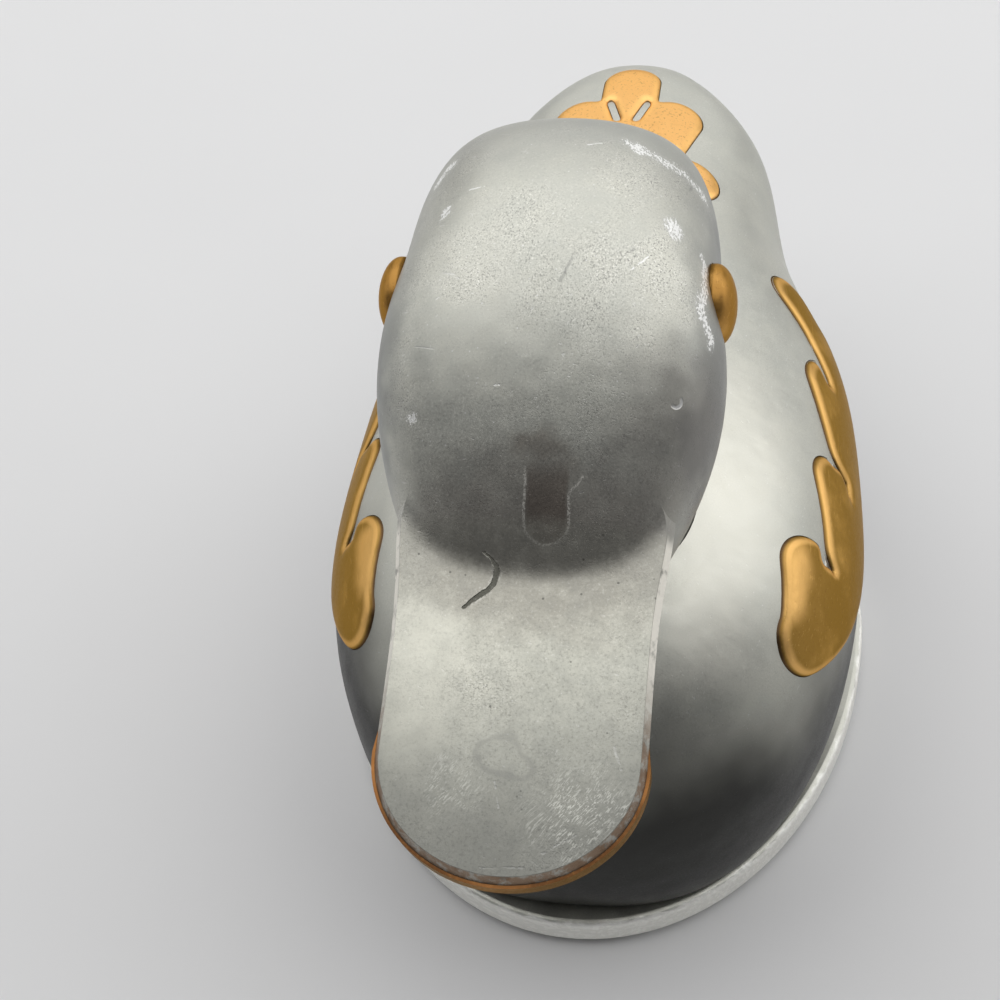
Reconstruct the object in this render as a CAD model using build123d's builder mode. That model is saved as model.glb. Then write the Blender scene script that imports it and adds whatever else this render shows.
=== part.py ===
"""Table ornament: a hollow pewter duck with brass wings, tail, eyes and lower bill set into it.

The duck faces -Y, its left side is +X, and it rests on the plane z = 0. Lengths are millimetres.
Along the duck, "forward" is the distance towards the bill, so a forward distance f lies at y = -f.
"""

import os
from math import asin, atan2, cos, degrees, pi, radians, sin, sqrt

from build123d import *

# Base plate and felt pad
felt_thickness = 1.5
felt_inset = 3.0
plate_thickness = 4.0
plate_edge_round = 0.9
plate_edge_break = 0.5
plate_side_overhang = 1.7
plate_front_overhang = 0.4
plate_back_length = 32.0
plate_widest = -4.0

# Body: half width and heights at its widest station, and where it ends
body_half_width = 35.5
body_widest = 2.0
back_height = 56.0
keel_depth = 10.0
breast_end = 46.8
breast_height = 22.0
tail_end = 76.2
tail_height = 49.6
tail_lift = 6.8
tail_waist = 3.5
wall = 3.0

# How quickly the body closes towards the breast and the tail, and how square its sections are
breast_closing = 0.42
breast_undercut = 0.30
tail_taper = 0.58
tail_waist_share = 0.57
tail_waist_spread = 0.26
belly_rise = 1.2
back_fall = 1.5
tail_flatness = 8
back_fullness = 0.5523
belly_fullness = 0.78

# Neck: an oval foot set into the back, drawn in below the head
neck_station = 14.0
neck_half_width = 14.5
neck_half_length = 14.0
neck_waist = 13.2
neck_sink = 8.0
neck_foot_height = 9.0
neck_waist_height = 13.0
neck_top_height = 26.0

# Head: its rises are from the neck's seat, the chin hangs below the bill's root and the cheeks below the chin
head_back = 5.1
crown_station = 11.9
crown_half_width = 16.9
crown_rise = 50.5
nape_rise = 34.0
cheek_station = 25.0
cheek_half_width = 18.1
cheek_drop = 6.0
head_front = 50.0
chin_drop = 7.8

# How the head closes towards its back and front, and how square its sections are
head_back_closing = 0.27
head_back_turn = 0.17
nape_closing = 0.6
cheek_turn = 1.6
cheek_closing = 0.47
head_fullness = 0.65

# Bill: lengths are measured along it from its root, inside the head
bill_root = 39.0
bill_drop = 20.7
bill_slope = 17.7
bill_length = 37.2
bill_tip_length = 11.6
bill_half_width = 12.9
bill_waist_place = 9.0
bill_waist_half_width = 13.2
bill_cheek_place = 1.5
bill_cheek_half_width = 13.9
bill_hidden_length = 6.0
bill_hidden_half_width = 13.0
bill_thickness = 1.2
bill_bevel = 0.6
bill_crease_round = 4.0

# Lower bill
lower_bill_thickness = 2.2
lower_bill_setback = 9.0
lower_bill_root_half_width = 10.5
lower_bill_show = 0.3

# Eyes
eye_diameter = 8.6
eye_dome = 1.5
eye_seat_depth = 1.2
eye_stem_diameter = 3.0
eye_stem_length = 6.0
eye_station = 17.0
eye_below_crown = 13.5
eye_tilt = 2.0

# Brass inlays: feathers are round-ended bars, parted by narrow slits
inlay_proud = 0.4
inlay_depth = 1.4
slit_width = 1.2
feather_length = 9.0
wing_below_back = 18.0
wing_tips = [(15.2, 2.7), (0.0, 0.9), (-16.4, 2.2), (-29.4, 6.7)]
wing_leans = [27.0, 20.0, 24.0, 40.0]
wing_half_widths = [4.1, 4.1, 4.1, 3.3]
wing_arm = [(22.5, -1.3), (-2.0, -7.5), (-25.0, 1.5)]
wing_arm_half_width = 4.6
wing_slit_length = 4.2
wing_slit_start = 7.5
tail_feather_half_width = 4.2
tail_root_from_end = 42.0
tail_tips_from_end = [(0.0, 10.4), (6.8, 19.6), (9.9, 32.6)]
tail_slit_length = 5.0
tail_slit_start = 0.5

# Neck fastening
neck_boss_wall = 3.0
neck_boss_thickness = 5.0
stud_diameter = 8.0
stud_in_head = 18.0
stud_tail = 3.0
stud_chamfer = 0.8
washer_diameter = 16.0
washer_thickness = 1.6
nut_across_flats = 13.0
nut_thickness = 6.5

# Base screws
screw_diameter = 4.0
screw_head_diameter = 8.0
screw_length = 14.0
screw_boss_diameter = 8.5
screw_boss_height = 14.0
screw_boss_bite = 3.0
screw_front_station = 27.0
screw_back_station = -10.0

# Clearances
inlay_clearance = 0.10
seat_clearance = 0.10
socket_clearance = 0.15
thread_clearance = 0.05
hole_clearance = 0.25
bottoming_clearance = 0.5

# Heights and places that follow from the sizes above
plate_bottom = felt_thickness
foot_height = plate_bottom + plate_thickness
neck_seat = back_height - neck_sink
crown_height = neck_seat + crown_rise
nape_height = neck_seat + nape_rise
bill_root_height = crown_height - bill_drop
chin_height = bill_root_height - chin_drop
cheek_height = chin_height - cheek_drop
boss_underside = neck_seat - neck_boss_thickness
nut_top = boss_underside - washer_thickness
stud_bottom = nut_top - nut_thickness - stud_tail

# Outlines seen from the side are drawn as (forward, height), those seen from above as (across, forward)
side_plane = Plane(origin=(0, 0, 0), x_dir=(0, -1, 0), z_dir=(-1, 0, 0))
bill_plane = Plane(
    origin=(0, -bill_root, bill_root_height),
    x_dir=(-1, 0, 0),
    z_dir=(0, -sin(radians(bill_slope)), cos(radians(bill_slope))),
)


def level(height):
    """Horizontal plane at a height, with its second axis pointing forward."""
    return Plane(origin=(0, 0, height), x_dir=(-1, 0, 0), z_dir=(0, 0, 1))


def section_across(station, half_width, top, bottom, upper_fullness, lower_fullness):
    """Closed section across the duck: four curves that meet at its top, bottom and widest line."""
    middle = (top + bottom) / 2
    upper = middle + (top - middle) * upper_fullness
    lower = middle - (middle - bottom) * lower_fullness
    crown = half_width * upper_fullness
    keel = half_width * lower_fullness
    with BuildSketch(Plane.XZ.offset(station)) as section:
        with BuildLine():
            Bezier((0, bottom), (keel, bottom), (half_width, lower), (half_width, middle))
            Bezier((half_width, middle), (half_width, upper), (crown, top), (0, top))
            Bezier((0, top), (-crown, top), (-half_width, upper), (-half_width, middle))
            Bezier((-half_width, middle), (-half_width, lower), (-keel, bottom), (0, bottom))
        make_face()
    return section.sketch


def body_section(share, skin):
    """Station, half width, top and bottom of the body at a share of the way to one of its ends.

    A negative share runs from the widest station back to the tail, a positive one to the breast.
    The surface is moved out by skin.
    """
    room = 1 - share**2
    if share > 0:
        station = body_widest + share * (breast_end + skin - body_widest)
        half_width = body_half_width * room**breast_closing
        top = breast_height + (back_height - breast_height) * room**breast_closing
        bottom = breast_height - (breast_height + keel_depth) * room**breast_undercut
    else:
        station = body_widest + share * (tail_end + skin + body_widest)
        from_waist = (share + tail_waist_share) / tail_waist_spread
        waist = tail_waist * cos(pi / 2 * max(-1, min(1, from_waist))) ** 2
        half_width = body_half_width * room**tail_taper - waist
        lift = tail_lift * sqrt(1 - share**tail_flatness)
        top = tail_height + lift + (back_height - tail_height - tail_lift) * room**back_fall
        bottom = tail_height - (tail_height + keel_depth) * room**belly_rise
    return station, half_width + skin, top + skin, bottom - skin


def body_form(skin, shares, rounded_breast=False):
    """Solid inside the body's surface moved out by skin, through the sections at the given shares."""
    sections = []
    for share in shares:
        station, half_width, top, bottom = body_section(share, skin)
        sections.append(section_across(station, half_width, top, bottom, back_fullness, belly_fullness))
    if rounded_breast:
        sections.append(Vertex(0, -(breast_end + skin), breast_height))
    with BuildPart() as form:
        loft(sections=sections)
    return form.part


def foot_half_width(station):
    """Half width of the body where it stands on the base plate, at a station."""
    end = breast_end if station > body_widest else -tail_end
    share = (station - body_widest) / abs(end - body_widest)
    _, half_width, top, bottom = body_section(share, 0)
    middle = (top + bottom) / 2
    return half_width * (1 - ((middle - foot_height) / (middle - bottom)) ** 3) ** (1 / 3)


def head_half_width(station):
    """Half width of the head in front of its crown: it swells to the cheeks, then closes to the front."""
    if station < cheek_station:
        swell = sin(pi / 2 * (station - crown_station) / (cheek_station - crown_station)) ** 2
        return crown_half_width + (cheek_half_width - crown_half_width) * swell
    share = (station - cheek_station) / (head_front - cheek_station)
    return cheek_half_width * (1 - share**cheek_turn) ** cheek_closing


def head_sections():
    """Sections of the head, from its back to its front, which ends inside the root of the bill."""
    sections = [Vertex(0, head_back, nape_height)]
    for share in head_back_shares:
        room = 1 - share**2
        station = crown_station - share * (crown_station + head_back)
        half_width = crown_half_width * room**head_back_turn
        top = nape_height + (crown_height - nape_height) * room**head_back_closing
        bottom = nape_height - (nape_height - cheek_height) * room**nape_closing
        sections.append(section_across(station, half_width, top, bottom, head_fullness, head_fullness))
    for share in head_front_shares:
        station = crown_station + share * (head_front - crown_station)
        half_width = head_half_width(station)
        top = chin_height + (crown_height - chin_height) * (1 - share**2)
        bottom = chin_height - (chin_height - cheek_height) * sqrt(1 - share**3)
        sections.append(section_across(station, half_width, top, bottom, head_fullness, head_fullness))
    sections.append(Vertex(0, -head_front, chin_height))
    return sections


def bill_outline(plane, sides, growth):
    """Bill seen square to its upper face: curved sides up to its shoulders, and a rounded tip."""
    shoulder = bill_length - bill_tip_length
    half_width = bill_half_width + growth
    right_side = [(across + growth, forward) for across, forward in sides] + [(half_width, shoulder)]
    left_side = [(-across, forward) for across, forward in right_side]
    with BuildSketch(plane) as outline:
        with BuildLine():
            Spline(*right_side)
            EllipticalCenterArc((0, shoulder), half_width, bill_tip_length + growth, arc_size=180)
            Spline(*left_side)
            Line(left_side[0], right_side[0])
        make_face()
    return outline.sketch


def base_outline(height, inset):
    """Base plate seen from above: two half ovals that meet at its widest station."""
    half_width = body_half_width + plate_side_overhang - inset
    front = breast_end + plate_front_overhang - plate_widest - inset
    back = plate_back_length - inset
    with BuildSketch(level(height)) as outline:
        with BuildLine():
            EllipticalCenterArc((0, plate_widest), half_width, front, arc_size=180)
            EllipticalCenterArc((0, plate_widest), half_width, back, start_angle=180, arc_size=180)
        make_face()
    return outline.sketch


def eye_axis(side):
    """Direction in which the eye on one side looks."""
    return Vector(side * cos(radians(eye_tilt)), 0, sin(radians(eye_tilt)))


def eye_seat(side):
    """Plane of the eye's seat in the head, facing out."""
    across = head_half_width(eye_station) - eye_seat_depth
    origin = (side * across, -eye_station, crown_height - eye_below_crown)
    return Plane(origin=origin, x_dir=(0, 1, 0), z_dir=eye_axis(side))


def neck_oval(height, half_width, half_length):
    """Oval section of the neck."""
    with BuildSketch(level(height)) as oval:
        with Locations((0, neck_station)):
            Ellipse(half_width, half_length)
    return oval.sketch


def wing_outline(growth):
    """Wing seen from the side: a curved arm and four leaning feathers, parted by slits."""
    root = Vector(0, back_height - wing_below_back)
    arm = [root + Vector(point) for point in wing_arm]
    with BuildSketch(side_plane) as outline:
        with BuildLine(mode=Mode.PRIVATE) as spine:
            ThreePointArc(*arm)
        SlotArc(spine.line.edge(), 2 * (wing_arm_half_width + growth))
        for tip, lean, half_width in zip(wing_tips, wing_leans, wing_half_widths):
            along = Vector(cos(radians(lean)), -sin(radians(lean)))
            with Locations(root + Vector(tip) + along * (feather_length / 2)):
                SlotCenterToCenter(feather_length, 2 * (half_width + growth), rotation=-lean)
        for tip, lean, half_width in zip(wing_tips[1:], wing_leans[1:], wing_half_widths[1:]):
            along = Vector(cos(radians(lean)), -sin(radians(lean)))
            beside = Vector(sin(radians(lean)), cos(radians(lean)))
            middle = root + Vector(tip) + along * (wing_slit_start + wing_slit_length / 2)
            with Locations(middle + beside * (half_width + slit_width / 2)):
                SlotCenterToCenter(
                    wing_slit_length, slit_width - 2 * growth, rotation=-lean, mode=Mode.SUBTRACT
                )
    return outline.sketch


def tail_outline(growth):
    """Tail seen from above: five feathers that fan out from one root, parted by slits."""
    root = Vector(0, tail_root_from_end - tail_end)
    half_width = tail_feather_half_width + growth
    with BuildSketch(level(tail_height)) as outline:
        for across, from_end in tail_tips_from_end:
            for side in (1, -1):
                tip = Vector(side * across, from_end - tail_end)
                run = root - tip
                with Locations((root + tip) / 2):
                    SlotCenterToCenter(run.length, 2 * half_width, rotation=degrees(atan2(run.Y, run.X)))
        for across, from_end in tail_tips_from_end[1:]:
            for side in (1, -1):
                tip = Vector(side * across, from_end - tail_end)
                run = root - tip
                along = run.normalized()
                beside = Vector(-side * along.Y, side * along.X)
                middle = tip + along * tail_slit_start
                with Locations(middle + beside * (tail_feather_half_width + slit_width / 2)):
                    SlotCenterToCenter(
                        tail_slit_length,
                        slit_width - 2 * growth,
                        rotation=degrees(atan2(run.Y, run.X)),
                        mode=Mode.SUBTRACT,
                    )
    return outline.sketch


def finish(piece, name):
    """Label a finished piece and write its file."""
    piece.label = name
    export_step(piece, f"parts/{name}.step")


os.makedirs("parts", exist_ok=True)

# Shares of the way from the widest station to the tail (negative) and to the breast (positive)
tail_shares = [-0.88, -0.78, -0.67, -0.55, -0.43, -0.3, -0.15, 0]
breast_shares = [0.3, 0.55, 0.75, 0.9]
outer_shares = [-0.995, -0.95, *tail_shares, *breast_shares, 0.97, 0.995]
floor_shares = [-0.97, -0.94, *tail_shares, *breast_shares]
cavity_shares = [*tail_shares[1:], *breast_shares, 0.96]

# Shares of the way from the crown to the back of the head and to its front
head_back_shares = [0.995, 0.96, 0.88, 0.7, 0.4, 0]
head_front_shares = [0.16, 0.32, 0.48, 0.64, 0.79, 0.9, 0.97]

body_surface = body_form(0, outer_shares, rounded_breast=True)
inlay_surface = body_form(inlay_proud, outer_shares, rounded_breast=True)
inlay_back = body_form(seat_clearance - inlay_depth, floor_shares)
pocket_floor = body_form(-inlay_depth, floor_shares)
cavity_form = body_form(-wall, cavity_shares)

# Reach of the cutting forms past the object
reach = tail_end + breast_end

# Places of the base screws, against the inside of the body's wall
screw_places = []
for station in (screw_front_station, screw_back_station):
    across = foot_half_width(station) - wall - screw_boss_diameter / 2 + screw_boss_bite
    screw_places += [(across, station), (-across, station)]

# Wing inlays
with BuildPart() as wing_inlay_left:
    add(wing_outline(0))
    extrude(amount=reach, dir=(1, 0, 0))
    add(inlay_surface, mode=Mode.INTERSECT)
    add(inlay_back, mode=Mode.SUBTRACT)
with BuildPart() as wing_inlay_right:
    add(wing_inlay_left.part.mirror(Plane.YZ))

# Tail inlay
with BuildPart() as tail_inlay:
    add(tail_outline(0))
    extrude(amount=reach)
    add(inlay_surface, mode=Mode.INTERSECT)
    add(inlay_back, mode=Mode.SUBTRACT)

# Pockets that the inlays are set into
with BuildPart() as wing_pockets:
    add(wing_outline(inlay_clearance))
    extrude(amount=reach, dir=(1, 0, 0), both=True)
    add(pocket_floor, mode=Mode.SUBTRACT)
with BuildPart() as tail_pocket:
    add(tail_outline(inlay_clearance))
    extrude(amount=reach)
    add(pocket_floor, mode=Mode.SUBTRACT)

# Boss under the neck and bosses for the base screws, inside the body
with BuildPart() as neck_boss:
    add(neck_oval(boss_underside, neck_half_width + neck_boss_wall, neck_half_length + neck_boss_wall))
    extrude(amount=reach)
    add(body_surface, mode=Mode.INTERSECT)
with BuildPart() as screw_bosses:
    with BuildSketch(level(foot_height)):
        with Locations(*screw_places):
            Circle(screw_boss_diameter / 2)
    extrude(amount=screw_boss_height)
    add(body_surface, mode=Mode.INTERSECT)

# Body: a hollow shell, open at its foot
with BuildPart() as body_shell:
    add(body_surface)
    add(cavity_form, mode=Mode.SUBTRACT)
    add(neck_boss.part)
    add(screw_bosses.part)
    with BuildSketch(level(foot_height)):
        Rectangle(2 * reach, 2 * reach)
    extrude(amount=-reach, mode=Mode.SUBTRACT)
    add(neck_oval(neck_seat, neck_half_width + socket_clearance, neck_half_length + socket_clearance))
    extrude(amount=reach, mode=Mode.SUBTRACT)
    with Locations(level(neck_seat) * Pos(0, neck_station)):
        Hole(stud_diameter / 2 + hole_clearance)
    add(wing_pockets.part, mode=Mode.SUBTRACT)
    add(tail_pocket.part, mode=Mode.SUBTRACT)
    with BuildSketch(level(foot_height)):
        with Locations(*screw_places):
            Circle(screw_diameter / 2 + thread_clearance)
    extrude(amount=screw_length - plate_thickness + bottoming_clearance, mode=Mode.SUBTRACT)


# Sides of the upper bill, which start inside the head, and of the lower bill, which starts under the chin
bill_sides = [
    (bill_hidden_half_width, -bill_hidden_length),
    (bill_cheek_half_width, bill_cheek_place),
    (bill_waist_half_width, bill_waist_place),
    (bill_half_width, bill_length / 2),
]
lower_bill_sides = [(lower_bill_root_half_width, lower_bill_setback)]

# Upper bill, with its edge bevelled
with BuildPart() as upper_bill:
    bill_underside = bill_outline(bill_plane.offset(-bill_thickness), bill_sides, 0)
    loft(sections=[bill_underside, bill_outline(bill_plane, bill_sides, -bill_bevel)], ruled=True)

# Room under the upper bill for the lower bill
with BuildPart() as lower_bill_room:
    with BuildSketch(bill_plane.offset(-bill_thickness)):
        with Locations((0, lower_bill_setback)):
            Rectangle(reach, reach, align=(Align.CENTER, Align.MIN))
    extrude(amount=-reach)

# Head: one casting with the neck and the upper bill, which meet in a rounded crease
with BuildPart() as head_casting:
    loft(sections=head_sections())
    add(lower_bill_room.part, mode=Mode.SUBTRACT)
    add(upper_bill.part)
    before_forehead = bill_plane.from_local_coords((0, lower_bill_setback, lower_bill_setback))
    crease = head_casting.edges().sort_by_distance(before_forehead)[0]
    fillet(crease, bill_crease_round)
    add(neck_oval(neck_seat, neck_half_width, neck_half_length))
    extrude(amount=neck_foot_height)
    loft(
        sections=[
            neck_oval(neck_seat + neck_foot_height, neck_half_width, neck_half_length),
            neck_oval(neck_seat + neck_waist_height, neck_waist, neck_waist),
            neck_oval(neck_seat + neck_top_height, neck_half_width, neck_half_length),
        ]
    )
    with BuildSketch(level(neck_seat)):
        with Locations((0, neck_station)):
            Circle(stud_diameter / 2 + thread_clearance)
    extrude(amount=stud_in_head + bottoming_clearance, mode=Mode.SUBTRACT)
    for side in (1, -1):
        with BuildSketch(eye_seat(side)):
            Circle(eye_diameter / 2 + seat_clearance)
        extrude(amount=reach, mode=Mode.SUBTRACT)
        with BuildSketch(eye_seat(side)):
            Circle(eye_stem_diameter / 2 + seat_clearance)
        extrude(amount=-(eye_stem_length + bottoming_clearance), mode=Mode.SUBTRACT)

# Lower bill
with BuildPart() as lower_bill:
    add(bill_outline(bill_plane.offset(-bill_thickness), lower_bill_sides, lower_bill_show))
    extrude(amount=lower_bill_thickness, dir=-bill_plane.z_dir)

# Eyes: a shallow dome on a short drum, with a stem behind it
eye_radius = eye_diameter / 2
dome_radius = (eye_radius**2 + eye_dome**2) / (2 * eye_dome)
dome_centre = eye_seat_depth + eye_dome - dome_radius
dome_angle = asin(eye_radius / dome_radius)
dome_middle = (dome_centre + dome_radius * cos(dome_angle / 2), dome_radius * sin(dome_angle / 2))
eye_half_plane = Plane(origin=eye_seat(1).origin, x_dir=eye_axis(1), z_dir=(0, 1, 0))
with BuildPart() as eye_left:
    with BuildSketch(eye_half_plane):
        with BuildLine():
            Polyline(
                (eye_seat_depth + eye_dome, 0),
                (-eye_stem_length, 0),
                (-eye_stem_length, eye_stem_diameter / 2),
                (0, eye_stem_diameter / 2),
                (0, eye_radius),
                (eye_seat_depth, eye_radius),
            )
            ThreePointArc((eye_seat_depth, eye_radius), dome_middle, (eye_seat_depth + eye_dome, 0))
        make_face()
    revolve(axis=Axis(eye_half_plane.origin, eye_half_plane.x_dir))
with BuildPart() as eye_right:
    add(eye_left.part.mirror(Plane.YZ))

# Base plate, with its screws' heads sunk into the underside
plate_underside = Plane(origin=(0, 0, plate_bottom), x_dir=(1, 0, 0), z_dir=(0, 0, -1))
with BuildPart() as base_plate:
    add(base_outline(plate_bottom, 0))
    extrude(amount=plate_thickness)
    fillet(base_plate.edges().group_by(Axis.Z)[-1], plate_edge_round)
    fillet(base_plate.edges().group_by(Axis.Z)[0], plate_edge_break)
    with Locations(plate_underside):
        with Locations(*screw_places):
            CounterSinkHole(
                screw_diameter / 2 + hole_clearance,
                screw_head_diameter / 2 + hole_clearance,
                counter_sink_angle=90,
            )

with BuildPart() as base_screws:
    with BuildSketch(level(plate_bottom)):
        with Locations(*screw_places):
            Circle(screw_diameter / 2)
    extrude(amount=screw_length)
    with Locations(level(plate_bottom)):
        with Locations(*screw_places):
            Cone(
                screw_head_diameter / 2,
                screw_diameter / 2,
                (screw_head_diameter - screw_diameter) / 2,
                align=(Align.CENTER, Align.CENTER, Align.MIN),
            )

with BuildPart() as felt_pad:
    add(base_outline(0, felt_inset))
    extrude(amount=felt_thickness)

# Neck fastening inside the body
with BuildPart() as neck_stud:
    with BuildSketch(level(stud_bottom)):
        with Locations((0, neck_station)):
            Circle(stud_diameter / 2)
    extrude(amount=neck_seat + stud_in_head - stud_bottom)
    chamfer(neck_stud.edges(), stud_chamfer)

with BuildPart() as neck_washer:
    with BuildSketch(level(nut_top)):
        with Locations((0, neck_station)):
            Circle(washer_diameter / 2)
            Circle(stud_diameter / 2 + hole_clearance, mode=Mode.SUBTRACT)
    extrude(amount=washer_thickness)

with BuildPart() as neck_nut:
    with BuildSketch(level(nut_top)):
        with Locations((0, neck_station)):
            RegularPolygon(nut_across_flats / 2, 6, major_radius=False)
            Circle(stud_diameter / 2 + thread_clearance, mode=Mode.SUBTRACT)
    extrude(amount=-nut_thickness)

finish(body_shell.part, "body_shell")
finish(head_casting.part, "head_casting")
finish(lower_bill.part, "lower_bill")
finish(eye_left.part, "eye_left")
finish(eye_right.part, "eye_right")
finish(wing_inlay_left.part, "wing_inlay_left")
finish(wing_inlay_right.part, "wing_inlay_right")
finish(tail_inlay.part, "tail_inlay")
finish(base_plate.part, "base_plate")
finish(base_screws.part, "base_screws")
finish(felt_pad.part, "felt_pad")
finish(neck_stud.part, "neck_stud")
finish(neck_washer.part, "neck_washer")
finish(neck_nut.part, "neck_nut")
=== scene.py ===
import math

import bmesh
import bpy
import numpy as np
from mathutils import Matrix, Vector
from mathutils.geometry import delaunay_2d_cdt


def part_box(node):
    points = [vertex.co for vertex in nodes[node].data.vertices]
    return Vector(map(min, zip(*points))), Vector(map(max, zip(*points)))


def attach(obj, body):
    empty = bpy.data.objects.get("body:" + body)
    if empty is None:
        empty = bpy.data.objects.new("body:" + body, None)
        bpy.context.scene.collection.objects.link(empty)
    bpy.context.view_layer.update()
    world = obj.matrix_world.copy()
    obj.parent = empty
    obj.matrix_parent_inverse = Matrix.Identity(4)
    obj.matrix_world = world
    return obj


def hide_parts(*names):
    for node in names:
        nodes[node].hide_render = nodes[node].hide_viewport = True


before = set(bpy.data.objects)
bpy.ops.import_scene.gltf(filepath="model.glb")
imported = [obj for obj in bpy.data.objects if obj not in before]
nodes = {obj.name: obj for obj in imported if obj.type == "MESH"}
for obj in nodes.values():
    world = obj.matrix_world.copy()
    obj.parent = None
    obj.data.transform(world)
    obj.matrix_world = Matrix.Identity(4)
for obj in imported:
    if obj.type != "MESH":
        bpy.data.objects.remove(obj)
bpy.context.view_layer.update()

MM = 0.001

# Where the photo was taken from: a point just above the duck's bill, looking down at it.
look_at = Vector((-4.79, -33.46, 72.0)) * MM
look_distance = 172 * MM
look_azimuth = math.radians(13.72)
look_down = math.radians(48.03)
look_roll = math.radians(-7.67)
lens_mm = 59.4
sensor_mm = 36.0
nearest_shown = 10 * MM

# The felt under the base: its widest line, the round of its edge and how uneven its cut and its face are.
felt_widest = 4.0 * MM
felt_edge_round = 0.5 * MM
felt_cut_wobble = 0.12 * MM
felt_face_wobble = 0.05 * MM
felt_points = 240
felt_rings = 19
felt_edge_rings = 6
felt_cut_waves = (23, 7, 41)
felt_face_waves = (900.0, 700.0)

# The brass inlays: their edge rises in a quarter round from below the pewter to just above it.
inlay_proud = 0.4 * MM
inlay_edge_width = 1.9 * MM
inlay_edge_sink = 0.12 * MM
inlay_edge_rings = (0.07, 0.18, 0.33, 0.52, 0.75, 1.0)
inlay_spread = 0.08 * MM
inlay_crest = 0.6 * MM
inlay_depth = 1.2 * MM
inlay_spacing = 0.25 * MM
inlay_thinnest = 0.6 * MM
bed_sink = 0.06 * MM
weld_distance = 0.002 * MM

# How far a CAD face leans outward to count as an inlay's outer face, and the shares of a distance that count
# as clear of every other edge.
outer_lean = 0.2
broad_share = 0.95
ring_share = 0.97

# The eyes: a stem in the head, and a dome that starts just above the seat it stands on.
eye_rise = 2.7 * MM
eye_dome_start = 0.5 * MM
eye_stem_radius = 1.5 * MM
eye_stem_length = 6.0 * MM
eye_tilt = math.radians(2.0)
eye_dome_rings = 24
eye_points = 96

# The bill's upper face, for the marks on it: a point of it in millimetres, and its slope towards the tip.
bill_root = (0.0, -39.0, 77.8)
bill_slope = math.radians(17.7)

# Where the photo shows marks, in millimetres: on the head, the bill, the body, the wings and the base.
# The forehead's darkening round this point is partly a brown tone and partly painted shade; the left cheek's
# is painted shade.
forehead_middle = (0.8, -44.5, 77.5)
left_cheek_shade_middle = (15.0, -34.0, 83.0)
crown_pit_lines = [((-3.2, -17.8, 97.6), (0.6, -26.0, 94.6)), ((5.7, -22.0, 95.8), (5.0, -27.6, 93.3))]
drip_run = ((1.8, -39.5, 83.5), (1.7, -42.8, 79.7))
drip_flare = ((4.0, -40.7, 82.0), (5.1, -39.6, 83.0))
drip_smear = ((0.2, -37.8, 85.3), (1.9, -38.2, 84.8))
drip_radius = 2.2
worn_back_edge = [(6.9, -5.5, 96.8), (8.7, -6.4, 96.3), (10.2, -6.7, 95.5), (12.3, -6.5, 93.9)]
worn_back_edge += [(14.8, -6.4, 90.3)]
worn_patches = [((12.3, -16.0, 94.2), 2.2), ((-11.9, -6.8, 94.3), 1.9), ((-12.9, -8.2, 93.5), 1.6)]
worn_patches += [((8.2, -6.2, 96.5), 1.8), ((-10.7, -15.6, 95.4), 1.3), ((-12.3, -34.6, 85.0), 1.1)]
eye_chips = [(15.2, -16.5, 90.4), (15.7, -19.3, 89.8), (15.3, -22.4, 90.1), (15.9, -23.4, 88.9)]
eye_chips += [(16.4, -25.0, 87.4)]
scratches = [((-4.4, -33.8, 89.0), (-3.3, -33.6, 89.0)), ((-10.3, -25.8, 92.7), (-8.3, -24.4, 93.9))]
scratches += [((8.6, -23.1, 94.8), (10.2, -21.1, 94.8)), ((2.9, -7.7, 98.1), (4.4, -6.9, 97.8))]
scratches += [((-8.4, -13.8, 96.9), (-6.8, -13.9, 97.5)), ((9.7, -61.9, 70.5), (10.6, -63.8, 69.9))]
scratches += [((-1.0, -65.6, 69.3), (-0.8, -66.2, 69.1)), ((-0.6, -67.0, 68.9), (-0.5, -67.9, 68.6))]
scratches += [((-1.5, -73.2, 66.8), (2.5, -73.0, 66.9)), ((4.0, -71.6, 67.4), (7.0, -69.9, 68.0))]
long_furrow = ((8.6, -21.0, 95.5), (13.6, -7.4, 92.6))
short_furrow = ((2.0, -25.1, 95.0), (3.0, -22.9, 96.0))
dent_middle = (13.6, -32.2, 86.2)
dent_radius = 0.6
gouge_path = [(-4.3, -44.7, 77.0), (-3.6, -45.1, 76.7), (-3.1, -45.6, 76.1), (-3.0, -46.3, 75.6)]
gouge_path += [(-3.2, -47.0, 75.2), (-3.7, -47.8, 75.0), (-4.5, -48.4, 74.8), (-5.9, -49.6, 74.4)]
# A painted highlight runs along this line on the bill's right side.
bill_side_highlight_line = ((-9.5, -53.0, 73.2), (-9.6, -62.0, 70.4))
brushed_patches = [((7.2, -67.5, 68.8), 7.0, 1.0), ((-5.0, -66.0, 69.2), 3.5, 0.6)]
smudge_middle = (-0.3, -63.6, 69.9)
smudge_radius = 2.2
# A painted highlight runs along this line on the left shoulder.
shoulder_highlight_line = ((19.0, 2.0, 51.0), (17.0, -28.0, 46.0))
# A painted highlight on the front feather of each wing, along this line and its mirror.
wing_highlight_line = ((27.0, -16.0, 43.0), (26.5, -20.5, 41.5))
filed_top = 5.45


def colour(red, green, blue):
    return (red, green, blue, 1.0)


# Colours of plain pewter, of its grain and of its small faults.
pewter_shade = colour(0.475, 0.48, 0.435)
pewter_light = colour(0.53, 0.53, 0.475)
pewter_blotch = colour(0.59, 0.585, 0.515)
pewter_pitted = colour(0.66, 0.65, 0.58)
pewter_bright_grain = colour(0.76, 0.755, 0.69)
pewter_dark_grain = colour(0.24, 0.24, 0.225)
pewter_pit = colour(0.15, 0.15, 0.145)
pewter_sparkle = colour(0.88, 0.87, 0.82)
pewter_line = colour(0.74, 0.74, 0.73)
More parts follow.
